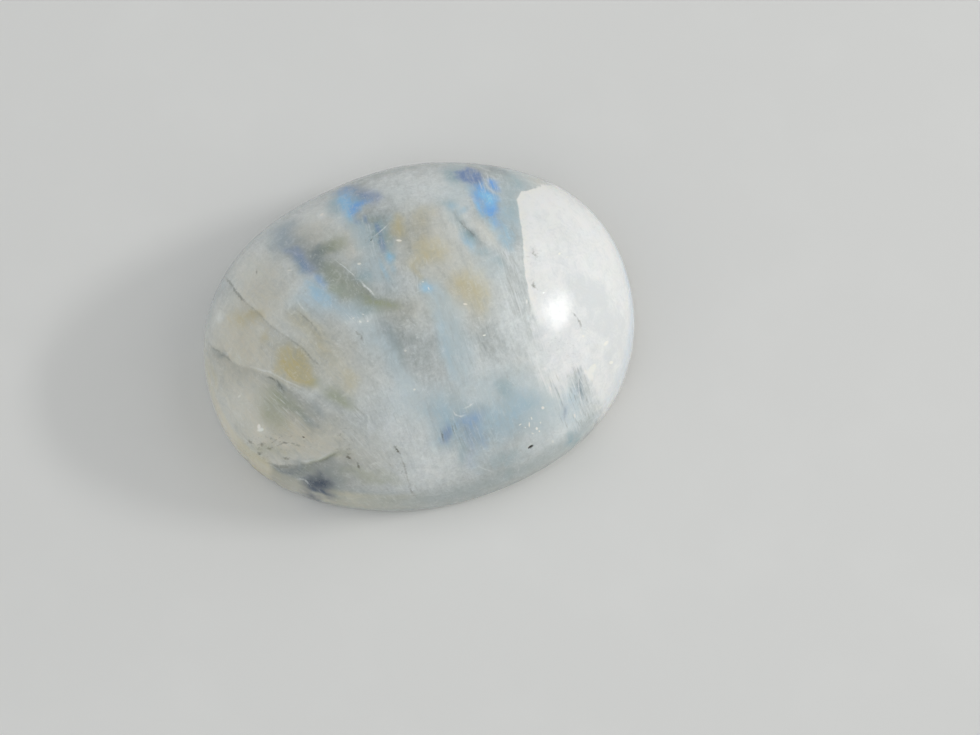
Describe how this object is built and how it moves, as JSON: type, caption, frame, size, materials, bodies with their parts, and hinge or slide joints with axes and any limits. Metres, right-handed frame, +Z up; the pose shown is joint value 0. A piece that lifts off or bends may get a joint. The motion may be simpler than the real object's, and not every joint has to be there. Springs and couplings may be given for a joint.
{
  "type": "moonstone cabochon",
  "caption": "Oval high-domed moonstone cabochon with a short girdle and a flat polished base, milky white with blue flashes, loose and unset.",
  "frame": {"origin": "middle of the flat base's bounding box, on the surface that the stone rests on", "axes": "+X along the oval's length, towards the end with the opaque white patch; +Z up, out of the dome"},
  "size_m": [0.025, 0.0196, 0.01],
  "materials": {
    "moonstone": "polished, milky and translucent, with blue flashes, cream clouds and fine cleavage streaks"
  },
  "bodies": {
    "root": {"moonstone": "moonstone"}
  },
  "joints": []
}
